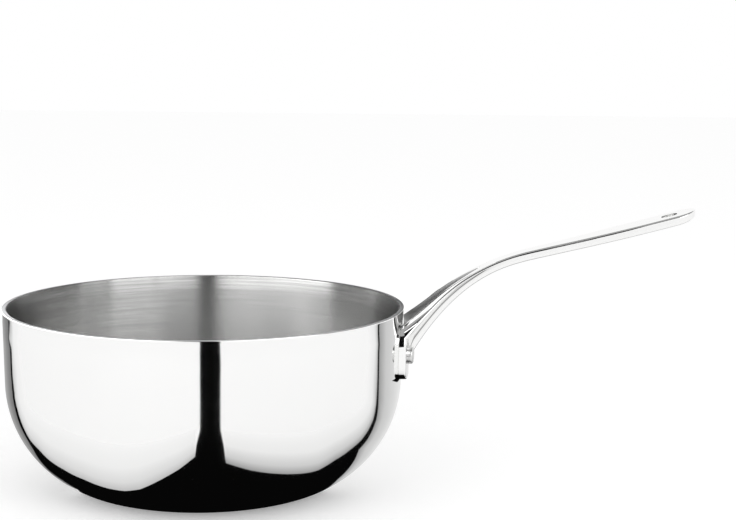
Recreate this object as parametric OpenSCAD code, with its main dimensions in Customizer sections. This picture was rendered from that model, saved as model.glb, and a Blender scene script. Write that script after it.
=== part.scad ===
// Saucier pan of three-layer clad steel with a riveted cast handle.
// The origin is the centre of the base, +Z is up and +X runs along the handle.

/* [Pan] */
// Diameter over the rim
rim_d = 199.4; // [180:0.2:240]
// Height from the base to the rim
pan_h = 90.5; // [84:0.5:110]
// Inward lean of the wall towards the base, in degrees
wall_lean = 1.1; // [0.2:0.1:2.5]
// How far the pouring lip stands out from the wall
lip_out = 0.6; // [0.3:0.05:1.2]
// Height of the pouring lip
lip_h = 11; // [6:0.5:14]
// Outside radius of the long curve below the wall
side_r = 58; // [50:1:62]
// Outside radius of the tighter curve at the base
heel_r = 31; // [22:1:38]
// Turn from the upright at which the long curve becomes the tighter one, in degrees
heel_from = 62; // [56:1:68]

/* [Clad sheet] */
// Thickness of the magnetic steel skin outside
outer_skin_t = 0.5; // [0.4:0.05:0.8]
// Thickness of the aluminium core
core_t = 1.5; // [1:0.1:2.5]
// Thickness of the steel skin inside
inner_skin_t = 0.5; // [0.4:0.05:0.8]

/* [Handle flange] */
// Width of the flange
flange_w = 40.6; // [40:0.2:46]
// Height of the flange
flange_h = 26.7; // [22:0.1:29]
// Thickness of the flange
flange_t = 3.5; // [2.8:0.1:5]
// Depth of the flange's top edge below the rim
flange_drop = 7.5; // [7:0.5:12]
// Width of each sloping shoulder at the top of the flange
shoulder_w = 8; // [5:0.5:12]
// Height that each shoulder falls
shoulder_fall = 3.25; // [1:0.25:4]
// Radius of the flange's lower corners
flange_corner_r = 6; // [2:0.5:8]
// Radius of the flange's upper corners
shoulder_r = 1.2; // [0.5:0.1:2]

/* [Rivets] */
// Distance between the two rivets
rivet_spacing = 29.5; // [28:0.5:30.5]
// Depth of the rivets below the rim
rivet_drop = 21.8; // [18:0.1:24]
// Diameter of a rivet's shank
rivet_d = 5; // [4:0.1:6]
// Gap round the shank
rivet_gap = 0.05; // [0.02:0.01:0.1]
// Diameter of a rivet's heads
head_d = 9.2; // [8:0.1:10]
// Height of the outer head
head_h = 3; // [2:0.1:3.5]
// Height of the inner head
inner_head_h = 2; // [1.5:0.1:2.5]
// Radius of the rounded edge on both heads
head_edge_r = 1.1; // [0.5:0.1:1.3]

/* [Handle line] */
// Reach of the handle beyond the rim
handle_reach = 143.8; // [130:0.2:180]
// Depth of the handle's top line below the rim where it meets the wall
root_drop = 10.7; // [10:0.1:14]
// Slope of the top line at the wall, in degrees
root_slope = 51.1; // [46:0.1:54]
// Radius of the bend between the root and the grip
bend_r = 116.3; // [105:0.5:125]
// Slope of the grip, in degrees
grip_slope = 13.7; // [8:0.1:18]
// How far the grip has risen above that slope at its end
grip_rise = 1.35; // [0:0.05:4]
// Lift of the top line at the wall, which carries it onto the flange
root_lift = 3.4; // [0:0.1:4]
// Length over which the lift dies away
root_lift_l = 14; // [8:0.5:18]

/* [Handle section] */
// Width of the flat top at the wall
root_w = 30; // [28:0.2:30.6]
// Width of the flat top at the neck
neck_w = 11.2; // [10:0.2:14]
// Width of the grip
grip_w = 21; // [18:0.5:24]
// Length over which the root flares out
flare_l = 58; // [50:1:66]
// Length over which the grip widens
widen_l = 62; // [50:1:66]
// Thickness of the grip
grip_t = 4.7; // [4.2:0.1:5.5]
// Width of the brow at the wall, where each side of the top falls away to its edge
brow_w = 4.8; // [3:0.1:5]
// How far the brow falls at the wall
brow_fall = 6; // [2:0.25:8]
// Extra depth of the keel at the wall, measured upright
keel_drop = 16; // [13:0.5:17]
// Width of the underside at the wall
keel_w = 14; // [12:0.5:18]
// Radius of the two top edges
edge_r = 1.1; // [0.8:0.1:1.4]
// Radius of the two lower edges
under_r = 1.6; // [1:0.1:2]
// Length of the scoop on top of the root
scoop_l = 38; // [30:1:45]
// Depth of the scoop
scoop_depth = 1.2; // [0.5:0.1:1.6]
// Distance from the wall at which the scoop has its full depth
scoop_start = 7; // [4:0.5:12]
// Land between the scoop and the brow
scoop_land = 0.4; // [0.2:0.1:3]

/* [Hanging hole] */
// Diameter of the hole near the end of the grip
hang_d = 8; // [6:0.5:9]
// Distance of the hole's centre from the end
hang_inset = 13; // [12:0.5:18]

/* [Hidden] */
$fn = 96;

// Steps along the two curves of the sheet's profile
side_steps = 12;
heel_steps = 5;
lip_steps = 5;
// Steps round a corner of the flange and round a head's edge
corner_steps = 5;
head_steps = 6;
// Sections through the handle's root, grip and rounded end
root_steps = 22;
grip_steps = 9;
end_steps = 8;
// How closely the root's sections crowd towards the wall
root_crowding = 1.4;
// Turn of the last section round the grip's end, just short of a point
end_turn = 78;

// How sharply the root flares, its keel deepens and its brow widens and falls towards the wall
flare_power = 2.4;
keel_power = 2.5;
brow_w_power = 2;
brow_fall_power = 4;
// Width of the brow along the grip, where it doesn't fall
brow_least = 0.3;
// Points across the brow, as shares of its width
brow_points = [1 / 3, 2 / 3];
// Share of the plate's thickness that the root gives up at the wall
root_thinning = 0.3;
// Share of the grip's thickness that is left at its very end
tip_share = 0.55;
// Inward lean of the grip's sides, from the top edges to the lower ones
grip_draft = 1;
// How much larger the top edges' radius is at the wall
edge_growth = 0.5;
// Points round each top edge, as shares of its turn
edge_points = [1, 2 / 3, 1 / 3, 0];
// How deeply the root's sides curve in below the top edges
side_hollow = 1.5;
// Points across half of the scoop, its steepness at the sides and its least share of the width
scoop_points = [0.3, 0.6, 0.85, 1];
scoop_power = 4;
scoop_least = 0.2;
// Depth of the point from which each end of the loft is closed, as a share of the section's depth
cap_depth = 0.4;
// How far outside the wall's face the loft starts, within the flange
root_start = 0.5;
// How far a rivet's shank and its heads run into each other
shank_in = 0.5;
head_foot = 1;

sheet_t = outer_skin_t + core_t + inner_skin_t;
wall_r = rim_d / 2 - lip_out;
lip_z = pan_h - lip_h;

// Centres of the profile's two curves
side_z = heel_r + (side_r - heel_r) * sin(heel_from);
side_end_z = side_z - side_r * sin(wall_lean);
side_x = wall_r - (lip_z - side_end_z) * tan(wall_lean) - side_r * cos(wall_lean);
heel_x = side_x + (side_r - heel_r) * cos(heel_from);

rivet_z = pan_h - rivet_drop;
flange_top = pan_h - flange_drop;
flange_mid_z = flange_top - flange_h / 2;
flange_r = wall_r - (lip_z - flange_mid_z) * tan(wall_lean) + flange_t;
rivet_turn = asin(rivet_spacing / 2 / flange_r);

// The handle's top line: an arc from the wall, then a grip that curves up very slightly
root_z = pan_h - root_drop;
bend_x = wall_r + bend_r * sin(root_slope);
bend_z = root_z - bend_r * cos(root_slope);
grip_x = bend_x - bend_r * sin(grip_slope);
grip_z = bend_z + bend_r * cos(grip_slope);
end_x = rim_d / 2 + handle_reach;
grip_l = end_x - grip_x;
end_r = grip_w / 2;
round_x = end_x - end_r * cos(grip_slope);
tip_x = round_x + (end_x - round_x) / sin(end_turn);
root_x = wall_r + root_start;
hang_x = end_x - hang_inset * cos(grip_slope);

// Height and slope of the top line at a distance x from the axis, without the lift at the root
function line_z(x) =
    x < grip_x ? bend_z + sqrt(bend_r * bend_r - (x - bend_x) * (x - bend_x))
    : grip_z + (x - grip_x) * tan(grip_slope) + grip_rise * pow((x - grip_x) / grip_l, 2);
function line_slope(x) =
    x < grip_x ? asin((bend_x - x) / bend_r)
    : atan(tan(grip_slope) + 2 * grip_rise * (x - grip_x) / (grip_l * grip_l));
function lift(x) = root_lift * pow(max(0, 1 - (x - wall_r) / root_lift_l), 2);

// A share that falls smoothly from 1 at the wall to 0 at a given length
function fade(x, length, power) = pow(max(0, 1 - (x - wall_r) / length), power);

// A share that rises smoothly from 0 to 1
function ease(t) = let (s = min(1, max(0, t))) s * s * (3 - 2 * s);

// The rounded end closes the plan to a point
function closing(x) = x <= round_x ? 1 : sqrt(max(0, 1 - pow((x - round_x) / (tip_x - round_x), 2)));

// Half the width of the flat top
function top_half(x) = closing(x) * (neck_w / 2
    + (root_w - neck_w) / 2 * fade(x, flare_l, flare_power)
    + (end_r - edge_r - neck_w / 2) * ease((x - wall_r - flare_l) / widen_l));

// Half the width of the flat underside
function under_half(x) = closing(x) * (neck_w / 2 - under_r
    + (keel_w - neck_w) / 2 * fade(x, flare_l, 1)
    + (end_r - neck_w / 2 - grip_draft) * ease((x - wall_r - flare_l) / widen_l));

// Upright depth of the section
function depth(x) = grip_t * (tip_share + (1 - tip_share) * closing(x)) / cos(line_slope(x))
    * (1 - root_thinning * fade(x, flare_l, 1)) + keel_drop * fade(x, flare_l, keel_power);

// The scoop is widest at the wall and ends in a point
function scoop_share(x) = sqrt(max(0, 1 - pow((x - wall_r) / scoop_l, 2)));
function scoop_onset(x) = ease((x - wall_r) / scoop_start);
function scoop_sink(x) = scoop_depth / cos(line_slope(x)) * sqrt(scoop_share(x)) * scoop_onset(x);

// One half of a section, from beside the middle of the top to beside the middle of the underside
function half_section(x) = let (
    rise = 1 / cos(line_slope(x)),
    half = top_half(x) - brow_least * closing(x),
    brow = brow_least * closing(x) + brow_w * fade(x, flare_l, brow_w_power),
    fall = brow_fall * fade(x, flare_l, brow_fall_power),
    share = scoop_share(x),
    scoop = max(scoop_least * half, (half - scoop_land * scoop_onset(x)) * share),
    sink = scoop_sink(x),
    edge = edge_r * (1 + edge_growth * fade(x, flare_l, 1)) * closing(x),
    turn = fall > 0 ? atan2(rise * brow, 2 * fall) : 90,
    side = half + brow + edge * (1 - cos(turn)),
    drop = fall + edge * rise * sin(turn),
    low = under_r * closing(x),
    under = under_half(x),
    deep = depth(x) + lift(x),
    hollow = 1 + side_hollow * fade(x, flare_l, 1)
) [
    for (v = scoop_points) [scoop * v, -sink * (1 - pow(v, scoop_power))],
    [half, 0],
    for (t = brow_points) [half + brow * t, -fall * t * t],
    for (t = edge_points) [side - edge * (1 - cos(turn * t)), edge * rise * sin(turn * t) - drop],
    for (t = [1 / 3, 2 / 3]) [
        under + low + (side - under - low) * pow(1 - t, hollow),
        -drop - (deep - drop - low * rise) * t
    ],
    for (a = [0, 30, 60, 90]) [under + low * cos(a), -deep + low * rise * (1 - sin(a))]
];

// A whole section, placed in the upright plane at x
function section(x) = let (
    half = half_section(x),
    n = len(half),
    ring = concat(
        [[0, -scoop_sink(x)]],
        half,
        [[0, -depth(x) - lift(x)]],
        [for (i = [n - 1:-1:0]) [-half[i][0], half[i][1]]]
    )
) [for (p = ring) [x, p[0], line_z(x) + lift(x) + p[1]]];

// The point in a section from which its whole outline is seen
function middle(x) = [x, 0, line_z(x) - depth(x) * cap_depth];

// Points of a circular arc
function arc(centre, r, from, to, steps) =
    [for (i = [0:steps]) let (a = from + (to - from) * i / steps) centre + r * [cos(a), sin(a)]];

// A rounded corner at p between its neighbours a and b
function corner(p, a, b, r) = let (
    u = (a - p) / norm(a - p),
    v = (b - p) / norm(b - p),
    half = acos(u * v) / 2,
    centre = p + (u + v) / norm(u + v) * r / sin(half),
    first = p + u * r / tan(half) - centre,
    last = p + v * r / tan(half) - centre,
    from = atan2(first[1], first[0]),
    turn = atan2(first[0] * last[1] - first[1] * last[0], first * last)
) arc(centre, r, from, from + turn, corner_steps);

// The sheet's profile, set in from the outside by t, from the axis to the rim
function profile(t) = concat(
    [[0, t]],
    [for (p = arc([heel_x, heel_r], heel_r - t, -90, -heel_from, heel_steps)) p],
    [for (i = [1:side_steps]) let (a = heel_from + (wall_lean - heel_from) * i / side_steps)
        [side_x, side_z] + (side_r - t) * [cos(a), -sin(a)]],
    [for (i = [0:lip_steps]) let (s = i / lip_steps)
        [wall_r - t / cos(wall_lean) + lip_out * s * s, lip_z + lip_h * s]]
);

// One layer of the sheet, between two depths from the outside
module layer(from, to) {
    inner = profile(to);
    rotate_extrude() polygon(concat(profile(from), [for (i = [len(inner) - 1:-1:0]) inner[i]]));
}

// Everything inside the outer face of the sheet, up to the rim
module pan_space(t = 0) {
    rotate_extrude() polygon(concat(profile(t), [[0, pan_h]]));
}

// Places its children on the two rivet axes, with +Z pointing outwards
module on_rivets() {
    for (side = [-1, 1]) rotate([0, 0, side * rivet_turn]) translate([0, 0, rivet_z])
        rotate([0, 90, 0]) children();
}

module rivet_bores() {
    on_rivets() translate([0, 0, wall_r / 2]) cylinder(d = rivet_d + 2 * rivet_gap, h = wall_r);
}

// Outline of the flange, seen along the handle
module flange_outline() {
    half = flange_w / 2;
    low = flange_top - flange_h;
    high = flange_top - shoulder_fall;
    shoulder = half - shoulder_w;
    right = concat(
        corner([half, low], [0, low], [half, high], flange_corner_r),
        corner([half, high], [half, low], [shoulder, flange_top], shoulder_r),
        [[shoulder, flange_top]]
    );
    polygon(concat(right, [for (i = [len(right) - 1:-1:0]) [-right[i][0], right[i][1]]]));
}

module flange() {
    difference() {
        intersection() {
            rotate([90, 0, 90]) linear_extrude(rim_d) flange_outline();
            cylinder(r = flange_r, h = pan_h);
        }
        pan_space();
    }
}

// The neck and the grip, lofted through upright sections
module handle_loft() {
    stations = concat(
        [for (i = [0:root_steps - 1])
            root_x + (wall_r + flare_l - root_x) * pow(i / root_steps, root_crowding)],
        [for (i = [0:grip_steps - 1]) let (from = wall_r + flare_l) from + (round_x - from) * i / grip_steps],
        [for (i = [0:end_steps]) round_x + (tip_x - round_x) * sin(end_turn * i / end_steps)]
    );
    rings = [for (x = stations) section(x)];
    m = len(rings[0]);
    last = len(rings) - 1;
    polyhedron(
        points = concat([for (ring = rings) for (p = ring) p], [middle(stations[0]), middle(stations[last])]),
        faces = concat(
            [for (i = [0:last - 1]) for (j = [0:m - 1]) let (k = (j + 1) % m)
                each [[i * m + j, (i + 1) * m + k, (i + 1) * m + j], [i * m + j, i * m + k, (i + 1) * m + k]]],
            [for (j = [0:m - 1]) [(last + 1) * m, (j + 1) % m, j]],
            [for (j = [0:m - 1]) [(last + 1) * m + 1, last * m + j, last * m + (j + 1) % m]]
        )
    );
}

module outer_skin() {
    color("lightgray") difference() {
        layer(0, outer_skin_t);
        rivet_bores();
    }
}

module core() {
    color("gray") difference() {
        layer(outer_skin_t, outer_skin_t + core_t);
        rivet_bores();
    }
}

module inner_skin() {
    color("silver") difference() {
        layer(outer_skin_t + core_t, sheet_t);
        rivet_bores();
    }
}

module handle() {
    color("gainsboro") difference() {
        union() {
            flange();
            handle_loft();
        }
        rivet_bores();
        translate([hang_x, 0, line_z(hang_x)]) rotate([0, -line_slope(hang_x), 0])
            cylinder(d = hang_d, h = 4 * grip_t, center = true);
    }
}

// A head with a rounded edge, its foot let into the face that it sits on
module head(h) {
    rotate_extrude() polygon(concat(
        [[0, -head_foot], [head_d / 2, -head_foot]],
        arc([head_d / 2 - head_edge_r, h - head_edge_r], head_edge_r, 0, 90, head_steps),
        [[0, h]]
    ));
}

module rivets() {
    inner_r = wall_r - (lip_z - rivet_z) * tan(wall_lean) - sheet_t / cos(wall_lean);
    color("lightsteelblue") union() {
        on_rivets() translate([0, 0, inner_r - shank_in])
            cylinder(d = rivet_d, h = flange_r - inner_r + 2 * shank_in);
        difference() {
            on_rivets() translate([0, 0, flange_r]) head(head_h);
            cylinder(r = flange_r, h = pan_h);
        }
        intersection() {
            on_rivets() translate([0, 0, inner_r]) rotate([180, 0, 0]) head(inner_head_h);
            pan_space(sheet_t);
        }
    }
}

outer_skin();
core();
inner_skin();
handle();
rivets();
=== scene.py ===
# %% [markdown]
# # A saucier pan in polished steel
# The pan is a drawn bowl of three bonded metals, with a cast handle riveted to its wall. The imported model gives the
# true sizes and places. This lesson makes each piece again as fine as a close photograph needs, gives it its finish,
# and lights it in a small studio. Steel shows little but what stands round it, so the studio matters as much as the
# metal.

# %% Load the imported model
import math
import bpy
import numpy as np
from mathutils import Matrix, Vector


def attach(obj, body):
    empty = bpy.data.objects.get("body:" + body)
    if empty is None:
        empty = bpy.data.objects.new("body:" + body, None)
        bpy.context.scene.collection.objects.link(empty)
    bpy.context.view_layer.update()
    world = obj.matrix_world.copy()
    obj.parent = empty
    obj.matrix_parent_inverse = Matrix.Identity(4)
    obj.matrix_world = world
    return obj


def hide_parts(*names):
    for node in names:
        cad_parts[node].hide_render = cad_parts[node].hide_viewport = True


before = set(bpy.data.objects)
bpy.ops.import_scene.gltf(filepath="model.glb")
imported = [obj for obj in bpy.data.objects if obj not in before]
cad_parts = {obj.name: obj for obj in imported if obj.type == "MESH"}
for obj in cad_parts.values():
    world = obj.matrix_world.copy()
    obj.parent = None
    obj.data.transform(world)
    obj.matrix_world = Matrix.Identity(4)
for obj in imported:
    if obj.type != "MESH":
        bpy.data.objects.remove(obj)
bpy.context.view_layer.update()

print("Nodes:", sorted(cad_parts))

# %% [markdown]
# ## The camera
# The camera looks along +Y, a little to the right of the pan and 13 cm above its rim. Its place and lens were worked
# out from the rim's ellipse: the height of the ellipse against its width tells how steeply the camera looks down, and
# the far wall against the near wall tells how close it stands. The lens could be guessed and the camera moved until
# the picture fits, but a lens guessed wrong bends the ellipse, and no place of the camera mends that.

# %% Camera
CAMERA_PLACE = Vector((0.0814, -0.7909, 0.2232))
LOOK_DOWN = math.radians(7.89)
ROLL = 0.0102
LENS, SENSOR_W = 78.26, 36

ahead = Vector((0, math.cos(LOOK_DOWN), -math.sin(LOOK_DOWN)))
above = Vector((0, math.sin(LOOK_DOWN), math.cos(LOOK_DOWN)))
right = math.cos(ROLL) * Vector((1, 0, 0)) + math.sin(ROLL) * above
up = math.cos(ROLL) * above - math.sin(ROLL) * Vector((1, 0, 0))
camera = bpy.data.objects.new("camera", bpy.data.cameras.new("camera"))
camera.data.lens = LENS
camera.data.sensor_width = SENSOR_W
camera.matrix_world = Matrix.Translation(CAMERA_PLACE) @ Matrix((right, up, -ahead)).transposed().to_4x4()
bpy.context.collection.objects.link(camera)
bpy.context.scene.camera = camera
bpy.context.scene.view_settings.view_transform = "Standard"
print(f"The camera stands {-CAMERA_PLACE.y:.2f} m in front of the pan's axis, with a lens of {LENS:.0f} mm")

# %% [markdown]
# ## The sheet's outline
# The bowl is pressed from one flat disc of bonded sheet, so one outline describes all three layers: a level base, a
# tight curve at the heel, a long curve up the side, a nearly upright wall and a small pouring lip. Each layer follows
# it at its own depth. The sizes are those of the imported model, in millimetres.

# %% Sizes of the sheet
MM = 0.001
RIM_D, PAN_H = 199.4, 90.5
WALL_LEAN = 1.1
LIP_OUT, LIP_H = 0.6, 11
SIDE_R, HEEL_R, HEEL_FROM = 58, 31, 62
OUTER_T, CORE_T, INNER_T = 0.5, 1.5, 0.5
SHEET_T = OUTER_T + CORE_T + INNER_T
print(f"The sheet is {SHEET_T} mm thick and the rim {RIM_D} mm across")

# %% Sine, cosine and tangent of degrees
def sin(degrees):
    return math.sin(math.radians(degrees))


def cos(degrees):
    return math.cos(math.radians(degrees))


def tan(degrees):
    return math.tan(math.radians(degrees))


# %% Where the curves meet
WALL_R = RIM_D / 2 - LIP_OUT
LIP_Z = PAN_H - LIP_H
SIDE_Z = HEEL_R + (SIDE_R - HEEL_R) * sin(HEEL_FROM)
SIDE_END_Z = SIDE_Z - SIDE_R * sin(WALL_LEAN)
SIDE_X = WALL_R - (LIP_Z - SIDE_END_Z) * tan(WALL_LEAN) - SIDE_R * cos(WALL_LEAN)
HEEL_X = SIDE_X + (SIDE_R - HEEL_R) * cos(HEEL_FROM)
print(f"Flat base {2 * HEEL_X:.1f} mm across, wall curves from {SIDE_END_Z:.1f} mm down")

# %% Outline of the sheet
BASE_STEPS, HEEL_STEPS, SIDE_STEPS, WALL_STEPS, LIP_STEPS = 6, 18, 54, 8, 12


def arc(centre, radius, start, end, steps):
    """Points along a circular arc, with its angles in degrees."""
    turns = [start + (end - start) * i / steps for i in range(steps + 1)]
    return [(centre[0] + radius * cos(a), centre[1] + radius * sin(a)) for a in turns]


def between(first, last, steps):
    """Points on the straight line from one point towards another, without the last."""
    return [tuple(f + (l - f) * i / steps for f, l in zip(first, last)) for i in range(steps)]


def sheet_line(depth):
    """The line from the axis to the rim that lies at this depth below the sheet's outer face."""
    base = between((0, depth), (HEEL_X, depth), BASE_STEPS)
    heel = arc((HEEL_X, HEEL_R), HEEL_R - depth, -90, -HEEL_FROM, HEEL_STEPS)
    side = arc((SIDE_X, SIDE_Z), SIDE_R - depth, -HEEL_FROM, -WALL_LEAN, SIDE_STEPS)[1:]
    top = (WALL_R - depth / cos(WALL_LEAN), LIP_Z)
    wall = between(side[-1], top, WALL_STEPS)[1:]
    shares = (i / LIP_STEPS for i in range(LIP_STEPS + 1))
    lip = [(top[0] + LIP_OUT * share**2, LIP_Z + LIP_H * share) for share in shares]
    return base + heel + side + wall + lip


print(f"The outline has {len(sheet_line(0))} points")

# %% [markdown]
# ## Rounded corners
# No real edge is sharp. A short fillet catches a line of light, which is what tells the eye that a rim is thick. A
# Bevel modifier rounds every edge over an angle alike, so this helper rounds single corners of an outline instead,
# each between its two neighbours and with its own radius.

# %% Corners
def corner(point, before, after, radius, steps=5):
    """Points round a corner, in place of the corner's own point."""
    p, a, b = (np.array(q, float) for q in (point, before, after))
    u, v = (a - p) / np.linalg.norm(a - p), (b - p) / np.linalg.norm(b - p)
    half = math.acos(u @ v) / 2
    centre = p + (u + v) / np.linalg.norm(u + v) * radius / math.sin(half)
    first, last = p + u * radius / math.tan(half) - centre, p + v * radius / math.tan(half) - centre
    start = math.degrees(math.atan2(first[1], first[0]))
    turn = math.degrees(math.atan2(first[0] * last[1] - first[1] * last[0], first @ last))
    return arc(centre, radius, start, start + turn, steps)


def layer_outline(outer, inner, outer_round, inner_round):
    """The closed outline of one layer, up its outer face, over the rim and down its inner face."""
    outside, inside = sheet_line(outer), sheet_line(inner)
    rim = corner(outside[-1], outside[-2], inside[-1], outer_round)
    rim += corner(inside[-1], outside[-1], inside[-2], inner_round)
    return outside[:-1] + rim + inside[-2::-1]


# %% [markdown]
# ## A lathe in Geometry Nodes
# Everything round here follows one rule: an outline turned about an axis. A Screw modifier could do it, but a small
# node tree keeps the number of steps and the finish as named inputs, and one tree serves the skins and the rivets. It
# sweeps the outline along a circle, welds the points that meet on the axis and sets the material.

# %% Helpers for Geometry Nodes
def new_tree(name, inputs):
    """An empty Geometry Nodes tree with a geometry in and out and the named inputs."""
    tree = bpy.data.node_groups.new(name, "GeometryNodeTree")
    tree.interface.new_socket("Geometry", in_out="INPUT", socket_type="NodeSocketGeometry")
    for label, kind in inputs:
        tree.interface.new_socket(label, in_out="INPUT", socket_type="NodeSocket" + kind)
    tree.interface.new_socket("Geometry", in_out="OUTPUT", socket_type="NodeSocketGeometry")
    return tree


def chain(tree, *steps):
    """Adds nodes that pass one geometry on, and returns them."""
    made = [tree.nodes.new("GeometryNode" + step) for step in steps]
    for first, second in zip(made, made[1:]):
        tree.links.new(first.outputs[0], second.inputs[0])
    return made


def finish_tree(tree, given, last):
    """Ends a tree in Realize Instances and Set Material."""
    realize, paint = chain(tree, "RealizeInstances", "SetMaterial")
    out = tree.nodes.new("NodeGroupOutput")
    tree.links.new(last.outputs[0], realize.inputs[0])
    tree.links.new(given.outputs["Finish"], paint.inputs["Material"])
    tree.links.new(paint.outputs[0], out.inputs[0])


# %% Lathe
WELD = 1e-6

lathe = new_tree("lathe", [("Steps Round", "Int"), ("Arm", "Float"), ("Finish", "Material")])
given = lathe.nodes.new("NodeGroupInput")
to_curve, = chain(lathe, "MeshToCurve")
circle, sweep, weld, flip = chain(lathe, "CurvePrimitiveCircle", "CurveToMesh", "MergeByDistance", "FlipFaces")
lathe.links.new(given.outputs["Geometry"], to_curve.inputs[0])
lathe.links.new(given.outputs["Steps Round"], circle.inputs["Resolution"])
lathe.links.new(given.outputs["Arm"], circle.inputs["Radius"])
lathe.links.new(to_curve.outputs[0], sweep.inputs["Profile Curve"])
weld.inputs["Distance"].default_value = WELD
finish_tree(lathe, given, flip)
print("The lathe has", len(lathe.nodes), "nodes")


# %% Running a tree on a mesh
def grow(name, mesh, tree, **values):
    """Runs a tree on a mesh and returns an object whose plain mesh is the result."""
    grown = bpy.data.objects.new(name, mesh)
    bpy.context.collection.objects.link(grown)
    modifier = grown.modifiers.new(tree.name, "NODES")
    modifier.node_group = tree
    sockets = {item.name: item.identifier for item in tree.interface.items_tree if item.in_out == "INPUT"}
    for label, value in values.items():
        modifier[sockets[label.replace("_", " ")]] = value
    grown.data = take_result(grown)
    return grown


def take_result(item):
    """The mesh that an object's modifiers make. The modifiers are then removed."""
    made = bpy.data.meshes.new_from_object(item.evaluated_get(bpy.context.evaluated_depsgraph_get()))
    item.modifiers.clear()
    return made


def turned(name, outline, steps, arm, finish):
    """Turns an outline of (radius, height) in millimetres about the Z axis."""
    mesh = bpy.data.meshes.new(name)
    points = [((radius - arm) * MM, -height * MM, 0) for radius, height in outline]
    mesh.from_pydata(points, [(i, i + 1) for i in range(len(points) - 1)], [])
    return grow(name, mesh, lathe, Steps_Round=steps, Arm=arm * MM, Finish=finish)


# %% [markdown]
# ## Boring and joining
# The bores for the rivets are drilled through handle and sheet together, so one pair of cutters serves every piece.
# The Boolean modifier does the same work as the drill. After it, only edges sharper than a set angle stay sharp. The
# manifold solver is used, because it is fast and keeps the many small faces of the handle in order.

# %% Helpers for solid pieces
def new_piece(name, points, faces, finish):
    """An object from points in millimetres."""
    mesh = bpy.data.meshes.new(name)
    mesh.from_pydata([[c * MM for c in point] for point in points], [], faces)
    mesh.materials.append(finish)
    piece = bpy.data.objects.new(name, mesh)
    bpy.context.collection.objects.link(piece)
    return piece


def combine(piece, tool, operation):
    """Joins a tool to a piece or cuts it away."""
    modifier = piece.modifiers.new(operation, "BOOLEAN")
    modifier.operation = operation
    modifier.object = tool
    modifier.solver = "MANIFOLD"
    piece.data = take_result(piece)


def shade(piece, angle):
    """Smooth shading, with edges sharper than the angle left sharp."""
    piece.data.polygons.foreach_set("use_smooth", [True] * len(piece.data.polygons))
    piece.data.set_sharp_from_angle(angle=math.radians(angle))


def report(piece):
    """Prints a piece's size and its number of triangles."""
    points = np.empty(3 * len(piece.data.vertices))
    piece.data.vertices.foreach_get("co", points)
    size = np.ptp(points.reshape(-1, 3), axis=0) / MM
    triangles = sum(len(face.vertices) - 2 for face in piece.data.polygons)
    print(f"{piece.name}: {size[0]:.1f} x {size[1]:.1f} x {size[2]:.1f} mm, {triangles} triangles")


def settle(piece, node):
    """Lets a finished piece stand for its CAD node."""
    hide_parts(node)
    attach(piece, "root")
    report(piece)


# %% [markdown]
# ## Effects shared by the finishes
# Real steel is never one even tone. The sheet was rolled and polished round the axis, which leaves lines; handling
# and buffing leave a faint haze and a slow waviness. Each of these effects is a node group that puts out plain
# values, so that several metals can use it in their own measure. The lines are a noise that is stretched round the
# axis: its third coordinate runs outwards over the base and up the wall, so they stay rings on both.

# %% Helpers for shader nodes
def math_node(tree, operation, *inputs):
    """A Math node fed by numbers or sockets. Returns its output."""
    node = tree.nodes.new("ShaderNodeMath")
    node.operation = operation
    for socket, value in zip(node.inputs, inputs):
        if isinstance(value, (int, float)):
            socket.default_value = value
        else:
            tree.links.new(value, socket)
    return node.outputs[0]


def range_node(tree, value, start, end, low, high):
    """A smooth Map Range from start to end onto low to high. Returns its output."""
    node = tree.nodes.new("ShaderNodeMapRange")
    node.interpolation_type = "SMOOTHSTEP"
    tree.links.new(value, node.inputs["Value"])
    for label, number in (("From Min", start), ("From Max", end), ("To Min", low), ("To Max", high)):
        node.inputs[label].default_value = number
    return node.outputs["Result"]


def noise_node(tree, vector, scale, detail):
    """A noise texture at a scale. Returns its value."""
    node = tree.nodes.new("ShaderNodeTexNoise")
    node.inputs["Scale"].default_value = scale
    node.inputs["Detail"].default_value = detail
    tree.links.new(vector, node.inputs["Vector"])
    return node.outputs["Fac"]


def blend(tree, mask, first, second):
    """A Mix of two numbers or sockets by a mask. Returns its output."""
    node = tree.nodes.new("ShaderNodeMix")
    tree.links.new(mask, node.inputs["Factor"])
    for label, value in (("A", first), ("B", second)):
        if isinstance(value, (int, float)):
            node.inputs[label].default_value = value
        else:
            tree.links.new(value, node.inputs[label])
    return node.outputs["Result"]


def new_effect(name, outputs):
    """An empty shader node group that takes a place on the piece. Returns its tree, that place and its end."""
    tree = bpy.data.node_groups.new(name, "ShaderNodeTree")
    tree.interface.new_socket("Place", in_out="INPUT", socket_type="NodeSocketVector")
    for label in outputs:
        tree.interface.new_socket(label, in_out="OUTPUT", socket_type="NodeSocketFloat")
    place = tree.nodes.new("NodeGroupInput").outputs["Place"]
    return tree, place, tree.nodes.new("NodeGroupOutput")


# %% Turned lines
LINES_ALONG, LINES_ACROSS, LINES_DETAIL = 16, 1100, 2

turned_lines, place, end = new_effect("turned_lines", ["Fine"])
apart = turned_lines.nodes.new("ShaderNodeSeparateXYZ")
turned_lines.links.new(place, apart.inputs[0])
x, y, z = apart.outputs
y_squared = math_node(turned_lines, "MULTIPLY", y, y)
away = math_node(turned_lines, "SQRT", math_node(turned_lines, "MULTIPLY_ADD", x, x, y_squared))
across = math_node(turned_lines, "ADD", away, z)
stretched = turned_lines.nodes.new("ShaderNodeCombineXYZ")
for value, scale, socket in zip((x, y, across), (LINES_ALONG, LINES_ALONG, LINES_ACROSS), stretched.inputs):
    turned_lines.links.new(math_node(turned_lines, "MULTIPLY", value, scale), socket)
turned_lines.links.new(noise_node(turned_lines, stretched.outputs[0], 1, LINES_DETAIL), end.inputs["Fine"])
print(f"Lines about {1000 / LINES_ACROSS:.1f} mm apart")

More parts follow.
